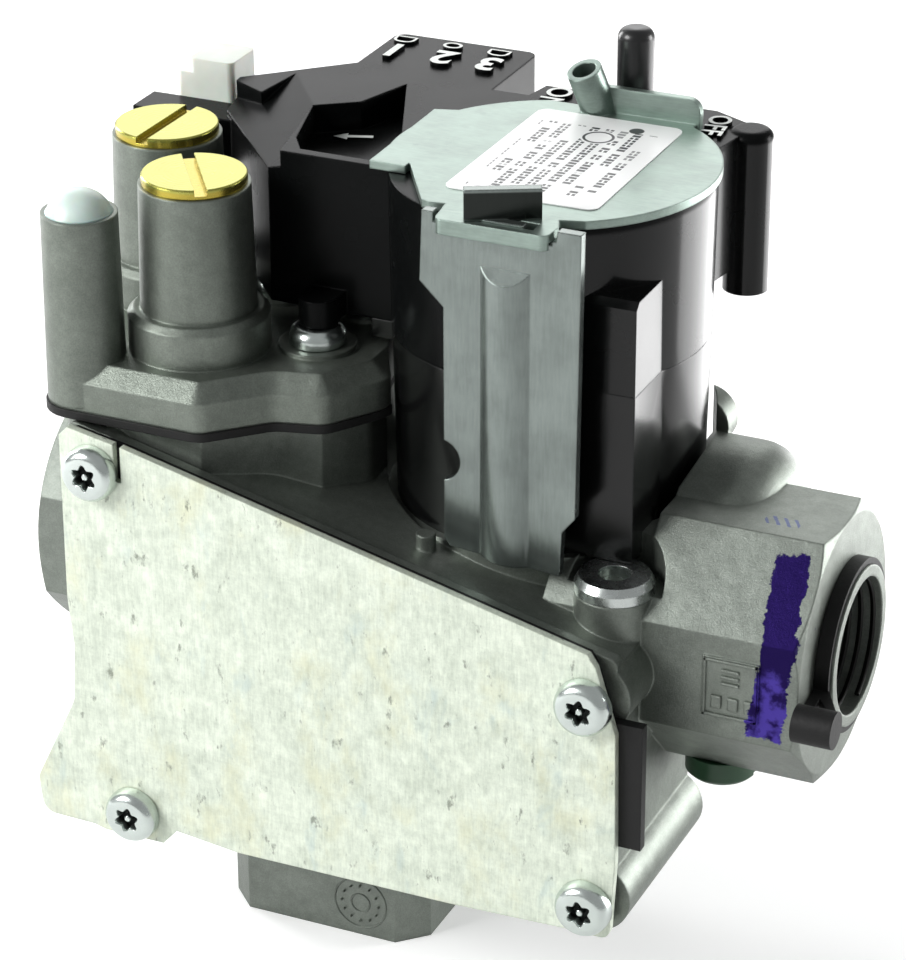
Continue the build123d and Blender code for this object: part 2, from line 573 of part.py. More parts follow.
# ---- solenoid ------------------------------------------------------------------------
def coil_bobbin():
    cx, cy = COIL_AXIS
    z0, z1 = 15.2, 56.0
    return turned([(8.4, z0), (19.2, z0), (19.2, z0 + 1.4), (9.6, z0 + 1.4), (9.6, z1 - 1.4),
                   (19.2, z1 - 1.4), (19.2, z1), (8.4, z1)], cx, cy)


def coil_winding():
    cx, cy = COIL_AXIS
    return turned([(9.65, 16.7), (18.2, 16.7), (18.2, 54.5), (9.65, 54.5)], cx, cy)


def core_tube():
    """Guide tube, closed by the fixed core, with a mounting flange below."""
    cx, cy = COIL_AXIS
    r = PLUNGER_R + RUN
    return turned([(r, 10.55), (14.9, 10.55), (14.9, 12.4), (8.2, 12.4), (8.2, 54.0),
                   (0, 54.0), (0, 40.0), (3.4, 40.0), (3.4, 36.4), (r, 36.4)], cx, cy)


def main_plunger():
    """Steel plunger, stem and disc holder; lifts off the seat when energised."""
    cx, cy = COIL_AXIS
    top = 36.4 - PLUNGER_TRAVEL - 0.4
    return turned([(0, 0.9), (9.0, 0.9), (9.0, 3.0), (2.6, 3.0), (2.6, 9.0), (5.2, 9.6),
                   (PLUNGER_R, 11.4), (PLUNGER_R, top), (4.6, top), (4.6, top - 7), (0, top - 7)],
                  cx, cy)


def valve_disc():
    cx, cy = COIL_AXIS
    return turned([(0, -2.18), (8.6, -2.18), (9.0, -1.8), (9.0, 0.88), (0, 0.88)], cx, cy)


def plunger_spring():
    cx, cy = COIL_AXIS
    top = 36.4 - PLUNGER_TRAVEL - 0.4
    return coil_spring(cx, cy, top - 6.95, top - 0.2, 3.7, 0.4, 4)


def chamber_spring():
    """Return spring between the disc holder and the guide tube's flange."""
    cx, cy = COIL_AXIS
    return coil_spring(cx, cy, 3.05, 7.8, 5.6, 0.4, 3)


def servo_coil():
    """Small coil that shifts the regulator between its two settings."""
    z0, z1 = SEAM + CLOSING_T, 50.8
    return turned([(4.0, z0), (8.9, z0), (8.9, z0 + 1), (8.2, z0 + 1), (8.2, z1 - 1), (8.9, z1 - 1),
                   (8.9, z1), (4.0, z1)], *SERVO_AXIS)


def servo_plunger():
    x, y = SERVO_AXIS
    z0 = SEAM + CLOSING_T + 0.05
    return post(x, y, z0, z0 + 9.0, 4.0 - RUN) - post(x, y, z0 + 7.0, z0 + 10, 1.8)


def closing_outline(gap):
    corners = [(-88.0, 12.5), (-69.6, 12.5), (-69.6, 33.0), (-86.5, 33.0), (-88.0, 30.0)]
    face = outline(corners)
    return offset(face, -gap) if gap else face


def closing_plate():
    """Bottom plate that shuts the servo pocket."""
    return rise(closing_outline(0.02), SEAM, SEAM + CLOSING_T - 0.02)


# ---- loose and visible small parts -----------------------------------------------------
def foot_ferrule():
    """Bright ring between the housing foot and its boss."""
    z = FOOT_SEAT + 0.02
    return turned([(2.3, z), (5.6, z), (5.6, z + 1.4), (5.0, z + 2.5), (2.3, z + 2.5)], *FOOT_AXIS)


def label():
    face = outline([(-59.0, -9.6), (-36.6, -9.6), (-36.6, 23.8), (-58.6, 23.8)], 1.6)
    return rise(face, YOKE_TOP + 0.01, YOKE_TOP + 0.16)


def inlet_band():
    """Soft band round the inlet spigot; its pull peg hangs on two strands."""
    face, inner, outer = -SPIGOT_L + 0.05, SPIGOT_R + 0.02, SPIGOT_R + 0.95
    band = along_x(face, -0.35, outer) - along_x(face - 1, 1, inner)
    reach, peg_r, peg_length = 19.7, 2.65, 5.7
    peg = along_x(face, face + peg_length, peg_r, -reach)
    strands = outline([(face, inner + 0.3), (-0.5, inner + 0.3), (3.2, reach - 1.6), (face, reach - 1.6)])
    strands -= outline([(-0.9, 14.3), (1.9, reach - 2.2), (-0.9, reach - 2.2)])
    web = extrude(mirror(strands, about=Plane.XZ), amount=0.6, both=True)
    return band + Rot(7.5, 0, 0) * (peg + web)


def underside_plug():
    """Green sealing plug under the inlet neck, with a screwdriver slot."""
    x, y, z = -18.5, -3.4, -PORT_FLATS / 2
    plug = post(x, y, z - 3.6, z - 0.02, 5.2)
    plug = chamfer(plug.edges().group_by(Axis.Z)[0], 0.6)
    return plug - Pos(x, y, z - 3.6) * Box(12, 1.6, 2.0)


# ---- write one STEP for every sub-part ---------------------------------------------------
def build():
    parts = {
        "valve_body": valve_body(),
        "inlet_screen": inlet_screen(),
        "valve_seat": valve_seat(),
        "front_cover_plate": front_cover_plate(),
        "front_cover_gasket": front_cover_gasket(),
        "cover_screws": cover_screws(),
        "regulator_cover": regulator_cover(),
        "regulator_diaphragm": regulator_diaphragm(),
        "regulator_screws": regulator_screws(),
        "vent_plug": vent_plug(),
        "operator_base": operator_base(),
        "operator_cover": operator_cover(),
        "on_off_lever": on_off_lever(),
        "nylon_connector": nylon_connector(),
        "yoke_plate": yoke_plate(),
        "yoke_strap": yoke_strap(),
        "coil_bobbin": coil_bobbin(),
        "coil_winding": coil_winding(),
        "core_tube": core_tube(),
        "main_plunger": main_plunger(),
        "valve_disc": valve_disc(),
        "plunger_spring": plunger_spring(),
        "chamber_spring": chamber_spring(),
        "closing_plate": closing_plate(),
        "servo_coil": servo_coil(),
        "servo_plunger": servo_plunger(),
        "foot_ferrule": foot_ferrule(),
        "label": label(),
        "inlet_band": inlet_band(),
        "underside_plug": underside_plug(),
    }
    for name, (x, y), slot in (("front", TOWER_FRONT, -55), ("rear", TOWER_REAR, -91)):
        parts["diaphragm_plate_" + name] = diaphragm_plate(x, y)
        parts["regulator_spring_" + name] = regulator_spring(x, y)
        parts["spring_seat_" + name] = spring_seat(x, y)
        parts["adjuster_" + name] = adjuster(x, y)
        parts["brass_cap_" + name] = brass_cap(x, y, slot)
        parts["cap_seal_" + name] = cap_seal(x, y)
    for name, x in zip(("left", "middle", "right"), TERMINALS):
        parts["terminal_" + name] = spade_terminal(x)
    return parts


def write(parts):
    os.makedirs("parts", exist_ok=True)
    for name, shape in parts.items():
        if isinstance(shape, list):
            shape = Compound(children=[s.solid() for s in shape])
        export_step(shape, os.path.join("parts", name + ".step"))
        print(name, round(shape.volume, 1))


write(build())
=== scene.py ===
# %% [markdown]
# # A furnace gas valve, dressed in Blender
#
# The valve is a die casting with a threaded port at each end, a stamped zinc
# cover on the front, two regulator towers with brass caps, and a black operator
# held down by a steel yoke. The solid pieces arrive from the CAD model at their
# real size. This lesson gives each of them its finish and adds what is too fine
# for the CAD: screw recesses, threads, raised marks, print and paint.

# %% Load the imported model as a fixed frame
import math

import bpy
import bmesh
from mathutils import Matrix, Vector


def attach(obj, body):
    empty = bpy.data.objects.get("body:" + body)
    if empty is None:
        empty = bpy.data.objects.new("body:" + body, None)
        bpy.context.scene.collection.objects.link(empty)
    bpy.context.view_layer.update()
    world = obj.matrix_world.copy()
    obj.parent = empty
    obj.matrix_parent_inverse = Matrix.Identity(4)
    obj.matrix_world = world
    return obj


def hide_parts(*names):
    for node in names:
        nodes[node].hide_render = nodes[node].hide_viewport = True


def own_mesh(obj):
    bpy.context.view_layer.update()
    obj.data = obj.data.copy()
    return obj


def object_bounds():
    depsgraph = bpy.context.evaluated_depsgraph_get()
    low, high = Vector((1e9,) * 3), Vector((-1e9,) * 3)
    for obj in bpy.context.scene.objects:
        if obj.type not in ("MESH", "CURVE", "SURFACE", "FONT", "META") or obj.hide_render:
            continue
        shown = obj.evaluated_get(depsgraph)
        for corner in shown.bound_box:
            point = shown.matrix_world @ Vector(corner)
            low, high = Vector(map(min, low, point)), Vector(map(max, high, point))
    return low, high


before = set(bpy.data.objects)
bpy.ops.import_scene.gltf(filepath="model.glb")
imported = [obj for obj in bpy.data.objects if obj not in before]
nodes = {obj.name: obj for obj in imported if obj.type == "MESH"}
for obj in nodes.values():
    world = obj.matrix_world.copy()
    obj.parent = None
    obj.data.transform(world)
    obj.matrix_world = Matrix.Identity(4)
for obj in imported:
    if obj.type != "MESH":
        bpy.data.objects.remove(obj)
cad_box = [list(corner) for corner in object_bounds()]
scene = bpy.context.scene
MM = 0.001
BODY = "valve"
TOWERS = {"front": (-95.2, -12.8), "rear": (-108.0, 3.1)}  # axes of the regulator towers, mm
COIL_AXIS = (-49.3, 6.3)
print("CAD box in mm", [[round(v / MM, 1) for v in corner] for corner in cad_box])

# %% [markdown]
# ## Writing shaders as sums
#
# A node tree drawn by hand is hard to read in a script. Here one small class
# wraps a socket, so a mask is written the way it would be on paper, such as
# `grain * 0.4 + 0.6`. Every other node comes from its `node` method.

# %% A socket that does arithmetic
class Socket:
    """A node's output. Python's operators add Math nodes to its tree."""

    def __init__(self, tree, link):
        self.tree = tree
        self.link = link

    def node(self, kind, settings, sockets, output=0):
        """Adds a node: its settings first, then a value or a link for each socket."""
        made = self.tree.nodes.new(kind)
        for name, value in settings.items():
            setattr(made, name, value)
        for name, value in sockets.items():
            if isinstance(value, Socket):
                self.tree.links.new(value.link, made.inputs[name])
            else:
                made.inputs[name].default_value = value
        return Socket(self.tree, made.outputs[output])

    def maths(self, operation, *others):
        terms = dict(enumerate((self,) + others))
        return self.node("ShaderNodeMath", {"operation": operation}, terms)

    def __add__(self, other):
        return self.maths("ADD", other)

    def __sub__(self, other):
        return self.maths("SUBTRACT", other)

    def __rsub__(self, other):
        return (self * -1.0) + other

    def __mul__(self, other):
        return self.maths("MULTIPLY", other)

    def __truediv__(self, other):
        return self.maths("DIVIDE", other)

    __radd__ = __add__
    __rmul__ = __mul__

    def step(self, low, high):
        """0 below low, 1 above high, and smooth between; low may be the greater."""
        return self.node("ShaderNodeMapRange", {"interpolation_type": "SMOOTHSTEP"},
                         {"Value": self, "From Min": low, "From Max": high})

    def axis(self, name):
        return self.node("ShaderNodeSeparateXYZ", {}, {0: self}, "XYZ".index(name))


# %% [markdown]
# ## Patterns shared by the finishes
#
# All patterns read Object coordinates. Each piece sits at the origin with its
# place in its mesh, so Object coordinates are the valve's own metres, and a
# pattern that is scaled in millimetres runs unbroken from one piece to the next.

# %% Noise, stretched noise, colour mixing and bump
def noise(place, size_mm, detail=2.0, rough=0.5, warp=0.0):
    """Soft noise from 0 to 1, whose blobs are about size_mm across."""
    return place.node("ShaderNodeTexNoise", {}, {"Vector": place, "Scale": 1 / (size_mm * MM),
                      "Detail": detail, "Roughness": rough, "Distortion": warp})


def stretched(place, scale):
    """The same place, stretched along some axes, for brush marks and streaks."""
    return place.node("ShaderNodeMapping", {}, {"Vector": place, "Scale": scale})


def spots(place, size_mm):
    """Distance to scattered points, for pits."""
    return place.node("ShaderNodeTexVoronoi", {}, {"Vector": place, "Scale": 1 / (size_mm * MM)})


def blend(mask, first, second):
    """Mixes two colours: mask 0 gives the first, 1 the second."""
    paint = [c if isinstance(c, Socket) else (*c, 1.0) for c in (first, second)]
    return mask.node("ShaderNodeMix", {"data_type": "RGBA"}, {0: mask, 6: paint[0], 7: paint[1]}, 2)


def bump(height, depth_mm, under=None):
    """Raises the shading by a height, on top of another normal if one is given."""
    sockets = {"Height": height, "Distance": depth_mm * MM, "Strength": 1.0}
    if under is not None:
        sockets["Normal"] = under
    return height.node("ShaderNodeBump", {}, sockets)


def worn_edge(place, radius_mm):
    """Rounds sharp edges in the shading, as tumbling and moulding do."""
    return place.node("ShaderNodeBevel", {"samples": 4}, {"Radius": radius_mm * MM})


def finish(name, recipe, **plain):
    """A material: recipe(place) returns what varies, plain holds what doesn't."""
    made = bpy.data.materials.new(name)
    made.use_nodes = True
    tree = made.node_tree
    shader = tree.nodes["Principled BSDF"]
    for socket, value in plain.items():
        shader.inputs[socket.replace("_", " ")].default_value = value
    start = tree.nodes.new("ShaderNodeTexCoord").outputs["Object"]
    for socket, value in recipe(Socket(tree, start)).items():
        if isinstance(value, Socket):
            tree.links.new(value.link, shader.inputs[socket])
        else:
            shader.inputs[socket].default_value = value
    return made


# %% [markdown]
# ## Cast aluminium
#
# Pressure die castings come out of the die with a grey, slightly sandy skin. The
# grain is finer than half a millimetre, the tone wanders over a few millimetres,
# and handling polishes the edges a little.

# %% The casting, with a band of marking ink on the inlet neck
def cast_skin(tone, grain_mm, sand_mm):
    """Die cast skin: a tone, the width of its grain and the depth of its sand."""
    def recipe(place):
        cloud = noise(place, 7, 4, 0.6)
        grain = noise(place, grain_mm, 3, 0.75)
        pits = spots(place, grain_mm * 5).step(0.0, 0.14)
        stain = noise(place, 1.8, 3, 0.7).step(0.32, 0.68)
        shade = (cloud.step(0.28, 0.72) * 0.30 + 0.85) * (grain.step(0.30, 0.70) * 0.40 + 0.80)
        shade = shade * (stain * 0.22 + 0.89) * (pits * 0.30 + 0.70)
        base = blend(shade * 0.62, [c * 0.45 for c in tone], [min(1, c * 1.65) for c in tone])
        skin = bump(grain, sand_mm, worn_edge(place, 0.45))
        skin = bump(cloud, 0.16, skin)
        return {"Base Color": base, "Roughness": grain * 0.14 + 0.34, "Metallic": 0.8, "Normal": skin}
    return recipe


def within(value, low_mm, high_mm, soft_mm=0.2):
    """1 between two places along an axis, with soft ends."""
    rising = value.step(low_mm * MM, (low_mm + soft_mm) * MM)
    return rising * value.step(high_mm * MM, (high_mm - soft_mm) * MM)


def ink_band(x, y, z, ragged):
    """A brush stroke down the inlet's front flats, a little bent where the flats meet."""
    bend, middle, half_width = 8.5 * MM, -5.5 * MM, 2.55 * MM
    lean = (z - bend).maths("MAXIMUM", 0.0) * 0.21 + (bend - z).maths("MAXIMUM", 0.0) * 0.11
    from_middle = (x - middle + lean).maths("ABSOLUTE")
    across = (from_middle + ragged).step(half_width, half_width - 0.2 * MM)
    return across * y.step(-6.0 * MM, -6.4 * MM) * within(z + ragged, -7.2, 17.3, 0.3)


def pen_strokes(place, x, y, z):
    """Four slanted strokes of a pen on the inlet's top flat."""
    slant = (x * 2.2 + y * 1.3) / (0.55 * MM)
    pen = (slant.maths("SINE") + (noise(place, 1.2, 1) - 0.5)).step(0.35, 0.55)
    return pen * within(x, -13.4, -8.0) * within(y, -4.9, -2.3) * z.step(18.2 * MM, 18.4 * MM)


def inked_casting(place):
    """The body's skin, a hand-painted ink band and pen strokes on the inlet neck."""
    made = cast_skin((0.168, 0.186, 0.165), 0.22, 0.045)(place)
    x, y, z = (place.axis(name) for name in "XYZ")
    ragged = (noise(place, 0.8, 3, 0.7) - 0.5) * 1.5 * MM + (noise(place, 3.5, 1) - 0.5) * 2.2 * MM
    ink = ink_band(x, y, z, ragged)
    thin = (z + ragged * 2.0).step(4.5 * MM, 2.5 * MM) * noise(place, 1.6, 3).step(0.36, 0.62)
    dye = blend(thin, (0.012, 0.005, 0.066), (0.070, 0.045, 0.320))
    marked = blend(pen_strokes(place, x, y, z) * 0.75, made["Base Color"], (0.050, 0.070, 0.220))
    made["Base Color"] = blend(ink, marked, dye)
    made["Metallic"] = ink * 0.12 + 0.8
    return made


casting = finish("cast_body", inked_casting)
regulator_casting = finish("cast_regulator", cast_skin((0.150, 0.168, 0.146), 0.25, 0.036))

# %% [markdown]
# ## Zinc-plated sheet
#
# The front cover is cut from galvanised strip: pale, streaked along the rolling
# direction, with a mottled spangle, dark specks and a few stains. The yoke is
# plated steel, a shade greyer and more even.

# %% Galvanised cover and plated yoke
def galvanised(place):
    """Pale zinc: rolling lines, a mottled spangle, faint stains, dark specks and flecks."""
    fibre = noise(stretched(place, (1, 1, 0.10)), 0.32, 3, 0.7)
    cross = noise(stretched(place, (0.12, 1, 1)), 0.40, 3, 0.7)
    blotch = noise(place, 4.0, 6, 0.72)
    mottle = noise(stretched(place, (1, 1, 0.6)), 1.3, 5, 0.70)
    yellow = noise(stretched(place, (1, 1, 0.6)), 8.0, 5, 0.62).step(0.50, 0.74)
    blue = noise(stretched(place, (1, 1, 0.5)), 6.0, 4, 0.6, 0.4).step(0.57, 0.74)
    speck = noise(stretched(place, (1, 1, 0.5)), 2.3, 5, 0.66).step(0.600, 0.700)
    fleck = noise(stretched(place, (1, 1, 0.35)), 0.6, 2, 0.5).step(0.665, 0.77)
    tone = fibre * 0.22 + cross * 0.09 + blotch * 0.42 + mottle * 0.31
    base = blend(tone.step(0.26, 0.76), (0.44, 0.50, 0.41), (0.92, 0.985, 0.85))
    base = blend(yellow * 0.40, base, (0.66, 0.64, 0.38))
    base = blend(blue * 0.42, base, (0.42, 0.54, 0.54))
    base = blend(speck * 0.72, base, (0.14, 0.16, 0.12))
    base = blend(fleck * 0.40, base, (0.24, 0.27, 0.22))
    skin = bump(fibre * 0.7 + mottle * 0.6, 0.035, worn_edge(place, 0.35))
    return {"Base Color": base, "Roughness": blotch * 0.20 + 0.40, "Metallic": 0.30, "Normal": skin}


def plated(direction, tone, rough):
    """Zinc on cold-rolled steel: faint rolling lines under a cloudy, even film."""
    def recipe(place):
        brushed = noise(stretched(place, direction), 0.30, 3, 0.6)
        cloud = noise(place, 8, 4, 0.6)
        handled = noise(stretched(place, (1, 1, 0.35)), 4, 4, 0.6).step(0.58, 0.76)
        base = blend((brushed * 0.30 + cloud * 0.75).step(0.25, 0.80),
                     [c * 0.74 for c in tone], [min(1, c * 1.20) for c in tone])
        base = blend(handled * 0.30, base, [c * 0.52 for c in tone])
        skin = bump(brushed, 0.008, worn_edge(place, 0.35))
        return {"Base Color": base, "Roughness": cloud * 0.18 + rough, "Metallic": 0.85, "Normal": skin}
    return recipe


cover_zinc = finish("galvanised_cover", galvanised)


def strap_plating(place):
    """The strap's film, with a painted dark reflection on the front of the twisted locking tab."""
    made = plated((1, 1, 0.08), (0.208, 0.238, 0.224), 0.15)(place)
    # Painted reflection: below its top rim, the locking tab's forward face is coloured near black.
    normal = place.node("ShaderNodeNewGeometry", {}, {}, "Normal")
    face = place.axis("Z").step(62.4 * MM, 62.7 * MM) * normal.axis("Y").step(-0.45, -0.75)
    rim = place.axis("Z").step(66.5 * MM, 66.2 * MM)
    made["Base Color"] = blend(face * rim * 0.92, made["Base Color"], (0.012, 0.014, 0.012))
    return made


strap_steel = finish("plated_strap", strap_plating)
plate_steel = finish("plated_top", plated((0.12, 1, 1), (0.268, 0.334, 0.298), 0.26))


# %% Bright screws, brass, bare steel and tin
def polished(tone, rough):
    """Smooth bright metal with a faint smear of handling."""
    def recipe(place):
        smear = noise(place, 1.6, 3)
        base = blend(smear, [c * 0.82 for c in tone], tone)
        skin = bump(noise(place, 0.25, 2), 0.010, worn_edge(place, 0.12))
        return {"Base Color": base, "Roughness": smear * 0.14 + rough, "Metallic": 1.0, "Normal": skin}
    return recipe


def screw_plating(place):
    """Bright zinc with painted shade, near black, on the recess floor; the heads carry the mask."""
    made = polished((0.66, 0.72, 0.69), 0.17)(place)
    # Painted shade: points marked sunk, on the recess floor and round the pin's foot, are coloured near
    # black.
    sunk = place.node("ShaderNodeAttribute", {"attribute_name": "sunk"}, {}, "Fac")
    made["Base Color"] = blend(sunk, made["Base Color"], (0.020, 0.022, 0.021))
    made["Roughness"] = made["Roughness"] + sunk * 0.25
    return made


screw_zinc = finish("bright_zinc", screw_plating)
ferrule_zinc = finish("ferrule_zinc", polished((0.62, 0.66, 0.64), 0.20))
machined = finish("machined_steel", polished((0.52, 0.53, 0.52), 0.26))
# The threads' near-black colour is painted shade for the inside of the ports.
bored = finish("bored_thread", polished((0.034, 0.034, 0.033), 0.42))
tin = finish("tinned_blade", polished((0.72, 0.72, 0.70), 0.24))


SLOT_TOP, SLOT_FLOOR = 59.75, 59.35  # between these heights a cap's slot turns darker


def turned_brass(centre_x, centre_y):
    """Brass with the fine rings that a lathe leaves round its own axis."""
    def recipe(place):
        x = place.axis("X") - centre_x * MM
        y = place.axis("Y") - centre_y * MM
        radius = (x * x + y * y).maths("SQRT")
        rings = (radius / (0.11 * MM)).maths("SINE")
        smear = noise(place, 2.6, 3)
        deep = place.axis("Z").step(SLOT_TOP * MM, SLOT_FLOOR * MM)
        base = blend(smear, (0.335, 0.320, 0.060), (0.440, 0.435, 0.110))
        base = blend(deep * 0.55, base, (0.52, 0.36, 0.045))
        skin = bump(rings, 0.0035, worn_edge(place, 0.15))
        return {"Base Color": base, "Roughness": smear * 0.12 + 0.20, "Metallic": 0.92, "Normal": skin}
    return recipe


brass = {end: finish("brass_" + end, turned_brass(*axis)) for end, axis in TOWERS.items()}
seat_brass = finish("brass_seat", turned_brass(*COIL_AXIS))


# %% [markdown]
# ## Plastics and rubber
#
# The operator is black glass-filled nylon with a fine spark-eroded texture and a
# soft sheen. Rubber is darker and duller, and the small pale pieces are natural
# nylon that lets a little light in.

# %% Black mouldings, rubber, pale nylon and the coil's tape
def moulded(tone, grain_mm, depth_mm, rough, radius_mm=0.4):
    """A moulding's skin: tone, texture's width and depth, gloss and how round its edges look."""
    def recipe(place):
        grain = noise(place, grain_mm, 2)
        cloud = noise(place, 8, 3)
        base = blend(cloud, [c * 0.75 for c in tone], [c * 1.35 for c in tone])
        skin = bump(grain, depth_mm, worn_edge(place, radius_mm))
        return {"Base Color": base, "Roughness": cloud * 0.12 + rough, "Normal": skin}
    return recipe


def cover_skin(place):
    """Matt on top, and glossier on the upright wall round the coil."""
    made = moulded((0.0034, 0.0038, 0.0038), 0.30, 0.010, 0.20)(place)
    wall = place.axis("X").step(-46.0 * MM, -42.0 * MM) * place.axis("Z").step(60.4 * MM, 59.6 * MM)
    made["Coat Weight"] = wall * 0.5
    return made


black_cover = finish("black_cover", cover_skin, Specular_IOR_Level=0.06, Coat_Roughness=0.13)
black_base = finish("black_base", moulded((0.0028, 0.0030, 0.0030), 0.30, 0.005, 0.13),
                    Specular_IOR_Level=0.36)
lever_black = finish("lever_black", moulded((0.008, 0.008, 0.0085), 0.30, 0.01, 0.24, 0.2))
rubber = finish("black_rubber", moulded((0.008, 0.008, 0.008), 0.6, 0.04, 0.50, 0.2),
                Specular_IOR_Level=0.3)
white_nylon = finish("white_nylon", moulded((0.70, 0.75, 0.68), 0.8, 0.01, 0.34, 0.3),
                     Subsurface_Weight=0.25, Subsurface_Scale=0.002)
mint_rubber = finish("mint_rubber", moulded((0.66, 0.79, 0.73), 0.8, 0.01, 0.26, 0.3),
                     Subsurface_Weight=0.25, Subsurface_Scale=0.002)
green_plastic = finish("green_plastic", moulded((0.012, 0.060, 0.022), 0.6, 0.02, 0.34, 0.3))
bobbin_nylon = finish("bobbin_nylon", moulded((0.50, 0.47, 0.38), 0.8, 0.02, 0.45, 0.3))
white_ink = finish("white_mark", moulded((0.80, 0.83, 0.80), 0.5, 0.004, 0.45, 0.05))


def taped_coil(place):
    """Varnished tape lapped round a winding."""
    wraps = (place.axis("Z") / (1.9 * MM)).maths("SINE")
    base = blend(wraps * 0.5 + 0.5, (0.30, 0.13, 0.04), (0.55, 0.27, 0.09))
    return {"Base Color": base, "Roughness": 0.5, "Normal": bump(wraps, 0.08)}


coil_tape = finish("coil_tape", taped_coil)


# %% [markdown]
# ## The label
#
# A real valve carries a rating label on its top plate. Ours is generic: rows of
# short dark dashes stand where print would be, so the plate keeps its look and
# says nothing.

# %% Rows of dashes on a white film
ROW_PITCH, CELL_WIDTH = 2.15, 1.0


def label_print(place):
    """Each row is cut into cells; a cell holds a short bar or nothing, by a fixed chance."""
    x, y = place.axis("X"), place.axis("Y")
    row = x / (ROW_PITCH * MM)
    lane = row.maths("FRACT")
    number = row.maths("FLOOR")
    shift = (number * 12.9898).maths("SINE") * 7.3
    dash = y / (CELL_WIDTH * MM) + shift
    letter = dash.maths("FRACT")
    pick = number.node("ShaderNodeCombineXYZ", {}, {0: number, 1: dash.maths("FLOOR")})
    chance = pick.node("ShaderNodeTexWhiteNoise", {"noise_dimensions": "2D"}, {0: pick})
    group = pick.node("ShaderNodeCombineXYZ", {}, {0: number, 1: (dash / 6.0).maths("FLOOR")})
    word = group.node("ShaderNodeTexWhiteNoise", {"noise_dimensions": "2D"}, {0: group})
    bar = lane.step(0.24, 0.28) * lane.step(0.84, 0.80)
    gap = (lane - 0.53).maths("ABSOLUTE").step(0.05, 0.08) + chance.step(0.55, 0.56)
    ink = bar * gap.maths("MINIMUM", 1.0) * letter.step(0.12, 0.20) * letter.step(0.92, 0.84)
    ink = ink * chance.step(0.12, 0.14) * word.step(0.22, 0.24)
    inside = within(x, -56.6, -38.2) * within(y, -7.6, 19.6)
    dot_x, dot_y = x + 42.6 * MM, y - 20.4 * MM
    ring_x, ring_y = x + 46.6 * MM, y - 16.0 * MM
    dot = (dot_x * dot_x + dot_y * dot_y).maths("SQRT").step(1.15 * MM, 1.0 * MM)
    reach = (ring_x * ring_x + ring_y * ring_y).maths("SQRT")
    clear = reach.step(2.5 * MM, 2.7 * MM)
    circle = reach.step(2.35 * MM, 2.2 * MM) * reach.step(1.8 * MM, 1.95 * MM)
    mark = (ink * inside * clear + dot + circle).maths("MINIMUM", 1.0)
    base = blend(mark, (0.93, 0.94, 0.93), (0.012, 0.012, 0.016))
    return {"Base Color": base, "Roughness": 0.32}


label_film = finish("label_film", label_print)

# %% Give every CAD node its finish
FINISH = {
    "valve_body": casting, "inlet_screen": machined, "valve_seat": seat_brass,
    "front_cover_plate": cover_zinc, "front_cover_gasket": rubber, "cover_screws": screw_zinc,
    "regulator_cover": regulator_casting, "regulator_diaphragm": rubber, "regulator_screws": screw_zinc,
    "vent_plug": mint_rubber, "operator_base": black_base, "operator_cover": black_cover,
    "on_off_lever": lever_black, "nylon_connector": white_nylon, "yoke_plate": plate_steel,
    "yoke_strap": strap_steel, "coil_bobbin": bobbin_nylon, "coil_winding": coil_tape,
    "core_tube": machined, "main_plunger": machined, "valve_disc": rubber, "plunger_spring": machined,
    "chamber_spring": machined, "closing_plate": black_base, "servo_coil": coil_tape,
    "servo_plunger": machined, "foot_ferrule": ferrule_zinc, "label": label_film, "inlet_band": rubber,
    "underside_plug": green_plastic, "brass_cap_front": brass["front"], "brass_cap_rear": brass["rear"],
    "diaphragm_plate": machined, "regulator_spring": machined, "spring_seat": machined,
    "adjuster": white_nylon, "cap_seal": rubber, "terminal": tin,
}
for node, piece in nodes.items():
    material = FINISH.get(node) or FINISH[node.rsplit("_", 1)[0]]
    piece.data.materials.clear()
    piece.data.materials.append(material)
print(len(nodes), "CAD nodes dressed")


# %% [markdown]
# ## Pieces that repeat
#
# Screw heads, turns of thread and spring, and dial ticks repeat, so Geometry Nodes
# place them. The
# tree is built here with its sizes as named inputs, the modifier's result is turned
# into a plain mesh, and the modifier goes. Instances are realised in the tree,
# because an exporter keeps meshes only.

# %% A geometry tree with named sizes, and the way out of it
def in_scene(name, data):
    made = bpy.data.objects.new(name, data)
    scene.collection.objects.link(made)
    return made


def on_body(name, data):
    """A piece of the valve that rides with its body."""
    made = in_scene(name, data)
    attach(made, BODY)
    return made


def mesh_object(name, vertices, faces):
    data = bpy.data.meshes.new(name)
    data.from_pydata(vertices, [], faces)
    return in_scene(name, data)


def evaluated_mesh(source):
    """What a source object shows once its modifiers have run, as a plain mesh."""
    return bpy.data.meshes.new_from_object(source.evaluated_get(bpy.context.evaluated_depsgraph_get()))


def soften(data, angle):
    """Smooth shading that stays sharp where the surface turns by more than an angle."""
    data.polygons.foreach_set("use_smooth", [True] * len(data.polygons))
    data.set_sharp_from_angle(angle=math.radians(angle))


def grow(name, source, material, build, **sizes):
    """Runs build(start, inputs) on a source object and returns one plain mesh piece."""
    tree = bpy.data.node_groups.new(name, "GeometryNodeTree")
    tree.interface.new_socket("Geometry", in_out="INPUT", socket_type="NodeSocketGeometry")
    tree.interface.new_socket("Geometry", in_out="OUTPUT", socket_type="NodeSocketGeometry")
    words = {label: label.replace("_", " ") for label in sizes}
    keys = {label: tree.interface.new_socket(words[label], in_out="INPUT",
                                             socket_type="NodeSocketFloat").identifier for label in sizes}
    entry = tree.nodes.new("NodeGroupInput")
    start = Socket(tree, entry.outputs["Geometry"])
    shape = build(start, {label: Socket(tree, entry.outputs[words[label]]) for label in sizes})
    real = shape.node("GeometryNodeRealizeInstances", {}, {0: shape})
    done = real.node("GeometryNodeSetMaterial", {}, {"Geometry": real, "Material": material})
    tree.links.new(done.link, tree.nodes.new("NodeGroupOutput").inputs[0])
    modifier = source.modifiers.new(name, "NODES")
    modifier.node_group = tree
    for label, value in sizes.items():
        modifier[keys[label]] = value
    data = evaluated_mesh(source)
    bpy.data.objects.remove(source)
    data.name = name
    print(name, len(data.polygons), "faces")
    return on_body(name, data)


